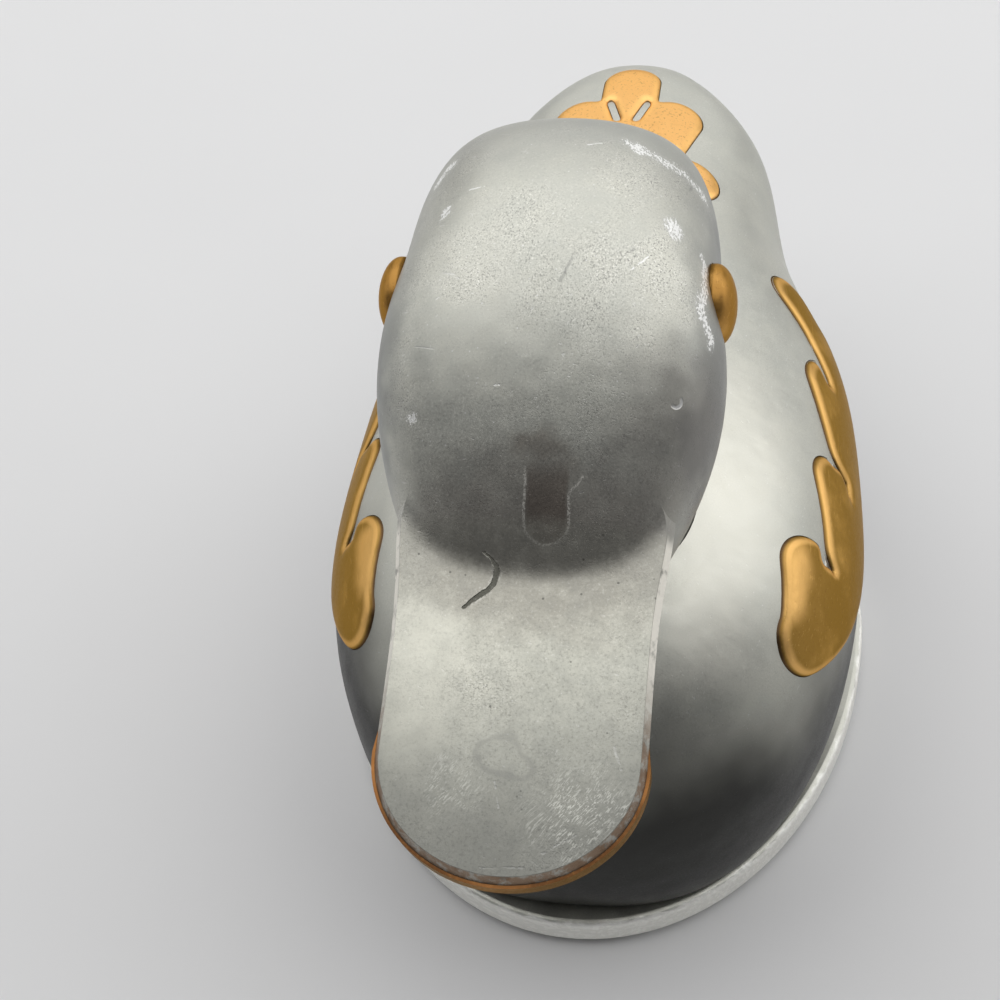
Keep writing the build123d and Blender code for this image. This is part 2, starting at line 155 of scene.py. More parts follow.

# Colours of the marks on the head, the bill, the body and the base.
# The forehead's colour is partly a brown tone and partly painted shade; the next two are painted shade on
# the head.
forehead_brown_and_shade = colour(0.165, 0.14, 0.125)
head_painted_shade = colour(0.17, 0.175, 0.175)
left_cheek_painted_shade = colour(0.165, 0.15, 0.14)
crown_pit = colour(0.13, 0.13, 0.125)
crown_sparkle = colour(0.88, 0.87, 0.80)
drip_outline = colour(0.74, 0.72, 0.66)
drip_darkening = (0.62, 0.57, 0.55)
gouge_dark = colour(0.03, 0.032, 0.025)
gouge_lip = colour(0.72, 0.71, 0.66)
worn_grey = colour(0.72, 0.72, 0.71)
worn_white = colour(0.93, 0.93, 0.91)
scratch_white = colour(0.84, 0.84, 0.82)
furrow_grey = colour(0.18, 0.18, 0.175)
dent_light = colour(0.72, 0.72, 0.72)
bill_warm = colour(0.50, 0.49, 0.40)
bill_dark_grain = colour(0.20, 0.20, 0.19)
bill_bright_grain = colour(0.76, 0.76, 0.72)
bill_dark_mottle = colour(0.22, 0.22, 0.20)
bill_light_mottle = colour(0.78, 0.77, 0.68)
bill_root_shade = colour(0.22, 0.215, 0.20)
# Painted highlight on the bill's right side:
bill_painted_highlight = colour(0.78, 0.77, 0.67)
bill_tip_dark = colour(0.105, 0.107, 0.10)
bill_dot = colour(0.10, 0.10, 0.09)
bill_brushed = colour(0.74, 0.74, 0.68)
bill_smudge = colour(0.12, 0.12, 0.12)
# The bill's bare worn edge, with a painted highlight where the edge rounds over:
bill_bare_edge_and_highlight = colour(0.86, 0.83, 0.75)
bill_stain = colour(0.20, 0.10, 0.04)
# Painted highlight on the left shoulder, and painted shade on the lower body:
shoulder_painted_highlight = colour(0.80, 0.785, 0.70)
body_painted_shade = colour(0.022, 0.022, 0.021)
rim_filed = colour(0.97, 0.965, 0.92)

# Colours of the brass, bright and tarnished; of its grain and its glance at a low angle; and of an inlay's
# polished edge with its painted highlight, its seam and its solder.
bill_brass_bright, bill_brass_brown = colour(0.33, 0.15, 0.05), colour(0.11, 0.05, 0.02)
wing_brass_bright, wing_brass_brown = colour(0.70, 0.42, 0.13), colour(0.32, 0.185, 0.045)
tail_brass_bright, tail_brass_brown = colour(0.85, 0.49, 0.18), colour(0.66, 0.33, 0.10)
eye_brass_bright, eye_brass_brown = colour(0.66, 0.37, 0.11), colour(0.37, 0.195, 0.05)
brass_dark_grain = colour(0.22, 0.11, 0.035)
brass_glance = colour(0.8, 0.66, 0.46)
# Polished inlay edge, with a painted highlight:
brass_polish_and_highlight = colour(0.95, 0.57, 0.20)
brass_seam = colour(0.10, 0.06, 0.03)
solder_grey = colour(0.49, 0.485, 0.44)

# Colours of what is not seen in the photo: the steel fasteners, the felt, the floor and the room.
steel_dark, steel_light = colour(0.42, 0.42, 0.43), colour(0.58, 0.58, 0.58)
felt_dark, felt_light = colour(0.012, 0.03, 0.02), colour(0.045, 0.085, 0.06)
floor_shade, floor_pale = colour(0.70, 0.70, 0.70), colour(0.72, 0.72, 0.72)
room_grey = colour(0.17, 0.17, 0.175)


class Shade:
    """A value in a material. Its operators add Math nodes, and add() puts in any other node."""

    def __init__(self, tree, socket=None):
        self.tree = tree
        self.socket = socket

    def add(self, kind, settings=None, inputs=None, out=0):
        """Adds a node, sets its settings, then gives each socket its value or link."""
        node = self.tree.nodes.new(kind)
        for name, value in (settings or {}).items():
            setattr(node, name, value)
        for name, value in (inputs or {}).items():
            if isinstance(value, Shade):
                self.tree.links.new(value.socket, node.inputs[name])
            else:
                node.inputs[name].default_value = value
        return Shade(self.tree, node.outputs[out]) if node.outputs else None

    def maths(self, operation, first, second=0.0):
        return self.add("ShaderNodeMath", {"operation": operation}, {0: first, 1: second})

    def __add__(self, other):
        return self.maths("ADD", self, other)

    def __radd__(self, other):
        return self.maths("ADD", other, self)

    def __sub__(self, other):
        return self.maths("SUBTRACT", self, other)

    def __rsub__(self, other):
        return self.maths("SUBTRACT", other, self)

    def __mul__(self, other):
        return self.maths("MULTIPLY", self, other)

    def __rmul__(self, other):
        return self.maths("MULTIPLY", other, self)

    def size(self):
        return self.maths("ABSOLUTE", self)

    def most(self, other):
        return self.maths("MAXIMUM", self, other)

    def least(self, other):
        return self.maths("MINIMUM", self, other)

    def vector(self, operation, *others, out=0):
        """Vector Math on this vector and the others, each a vector or a plain triple."""
        places = {place: other for place, other in enumerate((self,) + others)}
        return self.add("ShaderNodeVectorMath", {"operation": operation}, places, out)

    def scaled(self, factors):
        return self.vector("MULTIPLY", factors)

    def part(self, axis):
        return self.add("ShaderNodeSeparateXYZ", {}, {0: self}, out="XYZ".index(axis))

    def noise(self, scale, detail=3.0, roughness=0.55):
        """Smooth noise about 0.5; scale is in bumps per unit of this vector."""
        sockets = {"Vector": self, "Scale": scale, "Detail": detail, "Roughness": roughness}
        return self.add("ShaderNodeTexNoise", {}, sockets)

    def wobbled(self, scale, amount):
        """This place, moved about by smooth noise of the given scale, by up to half the amount."""
        sockets = {"Vector": self, "Scale": scale, "Detail": 2.0}
        drift = self.add("ShaderNodeTexNoise", {}, sockets, out=1).vector("SUBTRACT", (0.5, 0.5, 0.5))
        return self.vector("ADD", drift.scaled((amount, amount, amount)))

    def dots(self, scale, share, size):
        """Round specks: a share of the cells of the given scale holds one, of a size in cells."""
        sockets = {"Vector": self, "Scale": scale}
        near = self.add("ShaderNodeTexVoronoi", {}, sockets, out=0)
        lot = self.add("ShaderNodeTexVoronoi", {}, sockets, out=1).part("X")
        return near.ease(size, size * 0.5) * lot.ease(1.0 - share, 1.001 - share)

    def strokes(self, turn, length, fineness, crowding):
        """Fine straight marks: noise drawn out along one direction, kept only at its thin crests."""
        turned = self.add("ShaderNodeMapping", {}, {"Vector": self, "Rotation": turn})
        drawn = turned.scaled((1.0 / length, fineness, fineness))
        return drawn.noise(1.0, 2.0, 0.5).ease(crowding, crowding + 0.05)

    def ease(self, low, high):
        """0 below low, 1 above high, and a smooth step between; turned round when high is the smaller."""
        if high < low:
            return 1.0 - self.ease(high, low)
        settings = {"interpolation_type": "SMOOTHSTEP", "clamp": True}
        return self.add("ShaderNodeMapRange", settings, {"Value": self, "From Min": low, "From Max": high})

    def between(self, first, second):
        """Mixes two colours by this mask."""
        return self.add("ShaderNodeMix", {"data_type": "RGBA"}, {0: self, 6: first, 7: second}, out=2)

    def far_from(self, place):
        """Distance from a point."""
        return self.vector("DISTANCE", place, out=1)

    def far_from_line(self, start, end):
        """Distance from the straight line between two points, rounded at its ends."""
        start, end = Vector(start), Vector(end)
        along = end - start
        offset = self.vector("SUBTRACT", tuple(start))
        share = offset.vector("DOT_PRODUCT", tuple(along / along.length_squared), out=1)
        share = share.most(0.0).least(1.0)
        foot = self.add("ShaderNodeVectorMath", {"operation": "SCALE"}, {0: tuple(along), 3: share})
        return offset.vector("DISTANCE", foot, out=1)

    def far_from_lines(self, lines):
        """Distance from the nearest of some straight lines."""
        nearest = self.far_from_line(*lines[0])
        for line in lines[1:]:
            nearest = nearest.least(self.far_from_line(*line))
        return nearest

    def far_from_path(self, points):
        """Distance from a path of straight lines through the points."""
        return self.far_from_lines(list(zip(points, points[1:])))


def new_material(name):
    """An empty material, with the place on the object in millimetres and a shader to feed."""
    material = bpy.data.materials.new(name)
    material.use_nodes = True
    tree = material.node_tree
    tree.nodes.clear()
    start = Shade(tree)
    place = start.add("ShaderNodeTexCoord", out=3).scaled((1000.0, 1000.0, 1000.0))
    return material, start, place


def finish_material(material, start, sockets):
    """Feeds the surface shader, and the shader the material's output."""
    surface = start.add("ShaderNodeBsdfPrincipled", {}, sockets)
    start.add("ShaderNodeOutputMaterial", {}, {"Surface": surface})
    return material


def raised(start, height):
    """A bump for a height in millimetres."""
    return start.add("ShaderNodeBump", {}, {"Strength": 1.0, "Distance": MM, "Height": height})


def pewter(name, marks, pitting):
    """Grey patinated pewter: cloudy tone, patches of pits, bright specks and lines, and the given marks."""
    material, start, place = new_material(name)
    clouds = place.noise(0.06, 4.0).ease(0.3, 0.7)
    blotches = place.noise(0.3, 5.0, 0.6).ease(0.35, 0.7)
    grain = place.noise(4.2, 3.0, 0.65)
    pitted = place.noise(0.12, 5.0, 0.65).ease(0.40, 0.75)
    pits = place.noise(5.5, 2.0, 0.55).ease(0.46, 0.36) * pitted * pitting
    sparkle = place.noise(6.5, 2.0, 0.5).ease(0.58, 0.68) * pitted * pitting
    specks = place.dots(1.1, 0.15 + 0.2 * pitting, 0.12)
    tone = clouds.between(pewter_shade, pewter_light)
    tone = (blotches * 0.3).between(tone, pewter_blotch)
    tone = (pitted * 0.35 * pitting).between(tone, pewter_pitted)
    tone = (grain.ease(0.54, 0.72) * (0.25 + 0.1 * pitting)).between(tone, pewter_bright_grain)
    tone = (grain.ease(0.46, 0.3) * (0.2 + 0.08 * pitting)).between(tone, pewter_dark_grain)
    tone = (pits * 0.65).between(tone, pewter_pit)
    tone = (sparkle * 0.75).between(tone, pewter_sparkle)
    lines = place.strokes((0.3, 0.2, 0.5), 9.0, 2.2, 0.70)
    lines = lines.most(place.strokes((0.1, 0.4, 1.9), 9.0, 2.2, 0.72))
    tone = (lines * 0.3).most(specks * 0.7).between(tone, pewter_line)
    rough = 0.42 + (grain - 0.5) * 0.3 + blotches * 0.05 - lines * 0.06
    height = place.noise(0.1, 2.0) * 0.25 + grain * 0.005 - lines * 0.008 - pits * 0.01
    tone, rough, height = marks(place, tone, rough, height)
    sockets = {"Base Color": tone, "Metallic": 1.0, "Roughness": rough, "Normal": raised(start, height)}
    return finish_material(material, start, sockets)


def head_tones(place, uneven, tone, height):
    """A forehead that is partly brown and partly painted shade, painted shade on the cheeks, the back of the
    crown and the left cheek, and fine pits on top of the crown.
    """
    # The forehead's darkening: partly a brown tone, partly painted shade.
    dark = uneven.scaled((0.55, 1.0, 1.0)).far_from(forehead_middle).ease(12.5, 4.0)
    tone = (dark * 0.58).between(tone, forehead_brown_and_shade)
    # Painted shade on the lower cheeks, on the back of the crown and on the left cheek.
    cheek_shade = uneven.part("X").size().ease(11.5, 17.0) * place.part("Y").ease(-45.0, -35.0)
    cheek_shade = cheek_shade * (0.3 + place.part("Z").ease(93.0, 84.0) * 0.4)
    tone = cheek_shade.between(tone, head_painted_shade)
    crown_back_shade = uneven.part("Y").ease(-14.0, -4.0)
    tone = (crown_back_shade * 0.25).between(tone, head_painted_shade)
    left_cheek_shade = uneven.far_from(left_cheek_shade_middle).ease(13.0, 3.0)
    tone = (left_cheek_shade * 0.5).between(tone, left_cheek_painted_shade)
    crown_pitted = uneven.far_from_lines(crown_pit_lines).ease(6.5, 0.0)
    dark_pits = place.scaled((1.0, 0.7, 1.0)).noise(5.6, 3.0, 0.6).ease(0.47, 0.37) * crown_pitted
    tone = (dark_pits * 0.5).between(tone, crown_pit)
    bright_pits = place.noise(6.2, 2.0, 0.5).ease(0.56, 0.66) * crown_pitted
    tone = (bright_pits * 0.4).between(tone, crown_sparkle)
    return tone, height - dark_pits * 0.006


def dried_drip(place, uneven, tone):
    """A drip that dried on the forehead: dark inside, with a thin pale outline that is open at the top."""
    drip = place.wobbled(0.5, 0.5).wobbled(4.0, 0.16)
    from_drip = drip.far_from_line(*drip_run)
    below_top = (place.part("Z") + place.part("X").ease(1.5, 2.0) * 1.7).ease(84.0, 83.2)
    inside = from_drip.ease(drip_radius + 0.2, 1.7) * place.part("Z").ease(85.2, 82.4)
    beads = place.noise(5.0, 2.0).ease(0.38, 0.55)
    outline = (from_drip - drip_radius).size().ease(0.17, 0.07) * below_top
    outline = outline.most(drip.far_from_line(*drip_flare).ease(0.17, 0.07)) * beads
    smear = uneven.far_from_line(*drip_smear).ease(3.4, 0.2)
    tone = inside.most(smear * 0.75).between(tone, tone.scaled(drip_darkening))
    return (outline * 0.95).between(tone, drip_outline)


def gouge(place, crumbs, tone, rough, height):
    """A dark gouge at the root of the bill: thin at its ends, crumbled, with a bright lip in places."""
    from_gouge = place.wobbled(0.9, 0.3).far_from_path(gouge_path)
    thin_ends = place.part("Z").ease(75.8, 77.0) * 0.16 + place.part("Z").ease(75.0, 74.3) * 0.14
    from_gouge = from_gouge + thin_ends + (crumbs - 0.5) * 0.25
    cut = from_gouge.ease(0.33, 0.2)
    lip = from_gouge.ease(0.6, 0.33) * place.noise(1.2).ease(0.48, 0.56)
    tone = (lip * 0.6).between(tone, gouge_lip)
    tone = cut.between(tone, gouge_dark)
    return tone, rough + cut * 0.3, height - cut * 0.25


def worn_corners(place, crumbs, tone, height):
    """White wear in small chips: along the back of the crown, in patches and round the left eye."""
    worn = place.wobbled(0.3, 1.6).far_from_path(worn_back_edge).ease(1.6, 0.1) * 0.75
    for middle, reach in worn_patches:
        worn = worn.most(place.wobbled(0.5, 1.4).far_from(middle).ease(reach, reach * 0.3) * 0.85)
    worn = worn.most(place.wobbled(0.4, 2.2).far_from_path(eye_chips).ease(1.3, 0.2) * 0.85)
    chips = (worn * 0.34 + crumbs).ease(0.70, 0.79) * worn.ease(0.02, 0.1)
    tone = (worn * 0.2).between(tone, worn_grey)
    tone = (chips * 0.9).between(tone, worn_white)
    return tone, height - chips * 0.04


def scratched(place, tone, height):
    """Single bright scratches, two dull furrows on the crown and a small round dent on the left cheek."""
    thin = place.wobbled(0.8, 0.4)
    nicks = thin.far_from_lines(scratches).ease(0.15, 0.06) * place.noise(1.5, 3.0).ease(0.36, 0.5)
    tone = (nicks * 0.8).between(tone, scratch_white)
    furrow = thin.far_from_line(*long_furrow).ease(0.3, 0.05)
    furrow = furrow.most(thin.far_from_line(*short_furrow).ease(0.25, 0.08))
    tone = (furrow * 0.35).between(tone, furrow_grey)
    dent = (place.far_from(dent_middle) - dent_radius).size().ease(0.25, 0.08)
    dent = dent * place.part("Z").ease(86.3, 85.9)
    tone = (dent * 0.6).between(tone, dent_light)
    return tone, height - nicks * 0.015 - dent * 0.05


def bill_face(place, uneven, tone):
    """The bill: sandy, with painted shade at its root and a painted highlight on its right, dark at the tip
    with brushed patches, and bare at its edge, where a painted highlight lies too.
    """
    on_bill = place.vector("SUBTRACT", bill_root)
    along = on_bill.vector("DOT_PRODUCT", (0.0, -math.cos(bill_slope), -math.sin(bill_slope)), out=1)
    above = on_bill.vector("DOT_PRODUCT", (0.0, -math.sin(bill_slope), math.cos(bill_slope)), out=1)
    bill = along.ease(2.0, 4.0)
    sandy = place.noise(3.4, 4.0, 0.75)
    tone = (bill * sandy.ease(0.5, 0.34) * 0.65).between(tone, bill_dark_grain)
    tone = (bill * sandy.ease(0.56, 0.7) * 0.5).between(tone, bill_bright_grain)
    tone = (bill * 0.3).between(tone, bill_warm)
    mottled = place.noise(0.6, 5.0, 0.7)
    tone = (bill * mottled.ease(0.5, 0.36) * 0.16).between(tone, bill_dark_mottle)
    tone = (bill * mottled.ease(0.5, 0.64) * 0.15).between(tone, bill_light_mottle)
    root = (along + (uneven.part("X") - place.part("X")) * 1.5).ease(15.0, 3.0) * bill
    tone = (root * 0.4).between(tone, bill_root_shade)
    # A painted highlight along the bill's right side.
    highlight_patch = uneven.far_from_line(*bill_side_highlight_line).ease(6.0, 1.0)
    tone = (highlight_patch * 0.4).between(tone, bill_painted_highlight)
    tip = uneven.far_from(bill_root).ease(13.0, 36.0)
    tone = (bill * tip * 0.74).between(tone, bill_tip_dark)
    tone = (bill * place.dots(0.55, 0.35, 0.09) * 0.7).between(tone, bill_dot)
    streaks = place.wobbled(0.2, 1.2).strokes((0.0, 0.0, -0.95), 3.0, 7.5, 0.53)
    streaks = streaks * place.noise(0.9, 4.0, 0.6).ease(0.34, 0.62)
    for middle, reach, strength in brushed_patches:
        brushed = streaks * uneven.far_from(middle).ease(reach, 1.0) * strength
        tone = (brushed * 0.45).between(tone, bill_brushed)
    smudge = (uneven.far_from(smudge_middle) - smudge_radius).size().ease(0.7, 0.1) * sandy.ease(0.35, 0.6)
    tone = (smudge * 0.3).between(tone, bill_smudge)
    edge = above.ease(-0.02, -0.15) * above.ease(-2.6, -1.8) * bill
    # The bare worn edge, with a painted highlight where it rounds over.
    bare_and_highlight = edge * (along.ease(24.0, 14.0) * 0.7 + 0.25) * place.noise(0.6, 4.0).ease(0.3, 0.5)
    tone = bare_and_highlight.between(tone, bill_bare_edge_and_highlight)
    stained = edge * along.ease(16.0, 26.0) * place.noise(0.7, 5.0, 0.7).ease(0.36, 0.54)
    return (stained * 0.7).between(tone, bill_stain)


def head_marks(place, tone, rough, height):
    """The head's marks, one over the other: tones with painted shade, drip, gouge, wear, scratches and the
    bill's face with its painted shade and highlights.
    """
    uneven = place.wobbled(0.25, 7.0)
    crumbs = place.scaled((1.0, 0.55, 0.8)).noise(4.2, 3.0, 0.7)
    tone, height = head_tones(place, uneven, tone, height)
    tone = dried_drip(place, uneven, tone)
    tone, rough, height = gouge(place, crumbs, tone, rough, height)
    tone, height = worn_corners(place, crumbs, tone, height)
    tone, height = scratched(place, tone, height)
    tone = bill_face(place, uneven, tone)
    return tone, rough, height


def body_marks(place, tone, rough, height):
    """A painted highlight along the left shoulder, and painted shade below, higher on the breast and the
    right flank.
    """
    uneven = place.wobbled(0.1, 8.0)
    # A painted highlight on the left shoulder.
    shoulder_highlight = uneven.far_from_line(*shoulder_highlight_line).ease(11.0, 2.0)
    tone = (shoulder_highlight * 0.5).between(tone, shoulder_painted_highlight)
    # Painted shade on the lower body, reaching higher on the breast and the right flank.
    breast = place.part("Y").ease(-30.0, -43.0) * 9.0
    right_flank = place.part("X").ease(-18.0, -30.0) * place.part("Y").ease(0.0, -20.0) * 12.0
    low = (uneven.part("Z") - breast - right_flank).ease(44.0, 18.0)
    tone = (low * 0.97).between(tone, body_painted_shade)
    return tone, rough, height


def rim_marks(place, tone, rough, height):
    """The base: grey on top, with a bright filed edge and file marks across it."""
    filed = place.wobbled(0.4, 0.5).part("Z").ease(filed_top, filed_top - 0.25)
    filing = place.strokes((0.0, 0.0, 0.4), 1.5, 2.0, 0.5)
    tone = (filed * (0.85 + filing * 0.15)).between(tone, rim_filed)
    return tone, rough + filed * 0.08, height - filing * filed * 0.03


def brass(name, bright, brown, tarnish, inlaid=False):
    """Satin brass in a bright and a brown, tarnished colour; the given share of it is tarnished.

    An inlay's edge is polished and carries a painted highlight, as do patches on the wings' front feathers;
    its seam is dark. The solder bed it is set in is grey.
    """
    material, start, place = new_material(name)
    clouds = (place.noise(0.12, 4.0) + (tarnish - 0.5)).ease(0.3, 0.7)
    grain = place.noise(2.6, 3.0, 0.6)
    tone = clouds.between(bright, brown)
    tone = (grain.ease(0.45, 0.3) * 0.45).between(tone, brass_dark_grain)
    lines = place.strokes((0.0, 0.0, 1.45), 6.0, 3.5, 0.64)
    tone = (lines * 0.25).between(tone, bright)
    if inlaid:
        from_edge = start.add("ShaderNodeAttribute", {"attribute_name": "from_edge"}, out=2)
        # Polish wear with a painted highlight along an inlay's edge, and painted highlights on the wings'
        # front feathers.
        polish_and_highlight = from_edge.ease(0.05, 0.2) * (from_edge + place.noise(0.3, 3.0) * 0.3).ease(0.85, 0.45)
        for side in (-1.0, 1.0):
            mirrored_highlight_line = [(side * x, y, z) for x, y, z in wing_highlight_line]
            highlight_patch = place.wobbled(0.2, 3.0).far_from_line(*mirrored_highlight_line).ease(3.6, 0.5)
            polish_and_highlight = polish_and_highlight.most(highlight_patch)
        tone = (polish_and_highlight * 0.65).between(tone, brass_polish_and_highlight)
        tone = from_edge.ease(0.09, 0.0).between(tone, brass_seam)
        tone = from_edge.ease(-0.4, -0.6).between(tone, solder_grey)
    rough = 0.36 + (grain - 0.5) * 0.3
    height = place.noise(0.2, 2.0) * 0.12 + grain * 0.01 - lines * 0.01
    sockets = {"Base Color": tone, "Metallic": 1.0, "Roughness": rough, "Normal": raised(start, height)}
    sockets["Specular Tint"] = brass_glance
    return finish_material(material, start, sockets)


def steel(name):
    """Plain turned steel for the fasteners inside."""
    material, start, place = new_material(name)
    grain = place.noise(2.0, 2.0)
    tone = grain.between(steel_dark, steel_light)
    rough = 0.28 + grain * 0.2
    return finish_material(material, start, {"Base Color": tone, "Metallic": 1.0, "Roughness": rough})


def felt(name):
    """Dark matted wool felt."""
    material, start, place = new_material(name)
    fibres = place.noise(4.0, 5.0, 0.7)
    tone = fibres.ease(0.3, 0.7).between(felt_dark, felt_light)
    sockets = {"Base Color": tone, "Roughness": 0.95, "Normal": raised(start, fibres * 0.2)}
    return finish_material(material, start, sockets)


def floor_finish(name):
    """Plain pale floor."""
    material, start, place = new_material(name)
    speckle = place.noise(0.02, 2.0)
    tone = speckle.between(floor_shade, floor_pale)
    return finish_material(material, start, {"Base Color": tone, "Roughness": 0.9})


def new_piece(name, points, faces, slot, material, *replaced):
    """A smooth mesh in place of CAD nodes, riding on the duck's one body."""
    mesh = bpy.data.meshes.new(name)
    mesh.from_pydata(points, [], faces)
    mesh.polygons.foreach_set("use_smooth", np.ones(len(mesh.polygons), dtype=bool))
    mesh.materials.append(material)
    piece = bpy.data.objects.new(name, mesh)
    bpy.context.scene.collection.objects.link(piece)
    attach(piece, "root")
    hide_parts(*replaced)
    return piece


def outer_face(node, out):
    """A CAD inlay's outer face: its points and triangles, and the loops round it and round its slits."""
    shape = bmesh.new()
    shape.from_mesh(node.data)
    shape.transform(node.matrix_world)
    bmesh.ops.remove_doubles(shape, verts=shape.verts, dist=weld_distance)
    outer = [face for face in shape.faces if face.normal.dot(out) > outer_lean]
    known = set(outer)
    after = {}
    for face in outer:
        for corner in face.loops:
            if not any(other in known for other in corner.edge.link_faces if other is not face):
                after[corner.vert] = corner.link_loop_next.vert
    loops = []
    while after:
        loop = [next(iter(after))]
        while loop[-1] in after:
            loop.append(after.pop(loop[-1]))
        loops.append(np.array([vert.co for vert in loop[:-1]]))
    shape.verts.index_update()
    corners = [[vert.index for vert in face.verts] for face in outer]
    used, triangles = np.unique(corners, return_inverse=True)
    points = np.array([vert.co for vert in shape.verts])[used]
    shape.free()
    return points, triangles.reshape(-1, 3), loops


def eased(loop, spacing, rounds=2):
    """A closed loop with its corners cut, and then points set along it at an even spacing."""
    for _ in range(rounds):
        after = np.roll(loop, -1, axis=0)
        loop = np.stack([0.75 * loop + 0.25 * after, 0.25 * loop + 0.75 * after], 1).reshape(-1, 2)
    closed = np.concatenate([loop, loop[:1]])
    length = np.concatenate([[0.0], np.cumsum(np.linalg.norm(np.diff(closed, axis=0), axis=1))])
    places = np.arange(0.0, length[-1], length[-1] / round(length[-1] / spacing))
    return np.stack([np.interp(places, length, closed[:, axis]) for axis in range(2)], -1)


def smoothed(loop, rounds=12):
    """A closed loop whose points are drawn towards the middle of their neighbours, some rounds over."""
    for _ in range(rounds):
        loop = 0.5 * loop + 0.25 * (np.roll(loop, 1, axis=0) + np.roll(loop, -1, axis=0))
    return loop


def distance_inside(points, loops):
    """Distance of each point from the nearest edge of some closed loops."""
    nearest = np.full(len(points), np.inf)
    for loop in loops:
        for start, run in zip(loop, np.roll(loop, -1, axis=0) - loop):
            offset = points - start
            share = np.clip(offset @ run / (run @ run), 0.0, 1.0)
            nearest = np.minimum(nearest, np.linalg.norm(offset - share[:, None] * run, axis=1))
    return nearest


def inward(loop, sign):
    """Direction into the face at each point of a loop round it."""
    ahead = np.roll(loop, -1, axis=0) - np.roll(loop, 1, axis=0)
    return sign * np.stack([-ahead[:, 1], ahead[:, 0]], -1) / np.linalg.norm(ahead, axis=1)[:, None]


def broad(loop, loops, sign):
    """Which points of a loop bound a part of the face that is broader than the thinnest brass."""
    across = loop + inward(loop, sign) * inlay_thinnest
    return distance_inside(across, loops) > broad_share * inlay_thinnest


def smooth_height(points, axis, degree=6):
    """A polynomial of the two flat coordinates, fitted to the points' coordinate along the axis."""
    flat_axes = [a for a in range(3) if a != axis]
    middle = points[:, flat_axes].mean(axis=0)
    reach = np.abs(points[:, flat_axes] - middle).max()
    powers = [(i, j) for i in range(degree + 1) for j in range(degree + 1 - i)]

    def terms(flat):
        u, v = ((flat - middle) / reach).T
        return np.stack([u**i * v**j for i, j in powers], -1)

    weights = np.linalg.lstsq(terms(points[:, flat_axes]), points[:, axis], rcond=None)[0]
    return lambda flat: terms(flat) @ weights


def slab(top, bottom, triangles):
    """A closed solid between two sheets of points that share their triangles; the top ones face outward."""
    starts, ends = triangles.ravel(), np.roll(triangles, -1, axis=1).ravel()
    rim = ~np.isin(starts * len(top) + ends, ends * len(top) + starts)
    starts, ends = starts[rim], ends[rim]
    walls = np.stack([ends, starts, starts + len(top), ends + len(top)], -1)
    faces = triangles.tolist() + (triangles[:, ::-1] + len(top)).tolist() + walls.tolist()
    return np.concatenate([top, bottom]), faces


def inlay(name, node_name, axis, sign, material):
    """A brass inlay with a pillowed edge, on the bed of solder it is set in.

    Its outline is that of the CAD piece, with the corners eased. Its height over the pewter rises in a
    quarter ellipse from the outline to the edge's width, and stays level inside that. The bed has the
    CAD outline as it is and lies just under the pewter, so it fills the corners of the pocket.
    """
    out = Vector([sign * (a == axis) for a in range(3)])
    points, bed_triangles, loops = outer_face(nodes[node_name], out)
    flat_axes = [a for a in range(3) if a != axis]
    height = smooth_height(points, axis)
    outlines = [eased(loop[:, flat_axes], inlay_spacing) for loop in loops]
    kept = [outline[broad(outline, outlines, sign)] for outline in outlines]
    outlines = [smoothed(eased(outline, inlay_spacing)) for outline in kept]
    outlines = [outline - inward(outline, sign) * inlay_spread for outline in outlines]
    filling = []
    edges = []
    slits = []
    for outline in outlines:
        first = len(edges)
        turn = np.roll(outline, -1, axis=0)
        if sign * np.sum(outline[:, 0] * turn[:, 1] - outline[:, 1] * turn[:, 0]) < 0.0:
            slits.append((first, first + len(outline)))
        edges += [(first + i, first + (i + 1) % len(outline)) for i in range(len(outline))]
        for share in inlay_edge_rings:
            ring = outline + inward(outline, sign) * share * inlay_edge_width
            filling.append(ring[distance_inside(ring, outlines) > ring_share * share * inlay_edge_width])
    low, high = points[:, flat_axes].min(axis=0), points[:, flat_axes].max(axis=0)
    columns = [np.arange(a, b, 2.0 * inlay_spacing) for a, b in zip(low, high)]
    level = np.stack(np.meshgrid(*columns), -1).reshape(-1, 2)
    filling.append(level[distance_inside(level, outlines) > inlay_edge_width + inlay_spacing])
    seeds = np.concatenate(outlines + filling) / MM
    flat, _, faces, *_ = delaunay_2d_cdt([Vector(seed) for seed in seeds], edges, [], 1, 1e-6)
    flat = np.array([tuple(point) for point in flat]) * MM
    faces = np.array(faces)
    for first, last in slits:
        faces = faces[~((faces >= first) & (faces < last)).all(axis=1)]
    used, faces = np.unique(faces, return_inverse=True)
    flat, faces = flat[used], faces.reshape(-1, 3)
    share = np.clip(distance_inside(flat, outlines) / inlay_edge_width, 0.0, 1.0)
    rise = (inlay_crest + inlay_edge_sink) * np.sqrt(1.0 - (1.0 - share) ** 2) - inlay_edge_sink
    pewter_height = height(flat) - sign * inlay_proud
    top = np.insert(flat, axis, pewter_height + sign * rise, axis=1)
    bottom = np.insert(flat, axis, pewter_height - sign * inlay_depth, axis=1)
    brass_points, brass_faces = slab(top, bottom, faces[:, ::int(sign)])
    down = -np.array(out)
    bed_top, bed_bottom = points + down * (inlay_proud + bed_sink), points + down * inlay_depth
    bed_points, bed_faces = slab(bed_top, bed_bottom, bed_triangles)
    bed_faces = [[corner + len(brass_points) for corner in face] for face in bed_faces]
    both_points = np.concatenate([brass_points, bed_points])
    piece = new_piece(name, both_points, brass_faces + bed_faces, "brass", material, node_name)
    from_edge = np.concatenate([share, 0.0 * share, np.full(len(bed_points), -1.0)])
    piece.data.attributes.new("from_edge", "FLOAT", "POINT").data.foreach_set("value", from_edge)


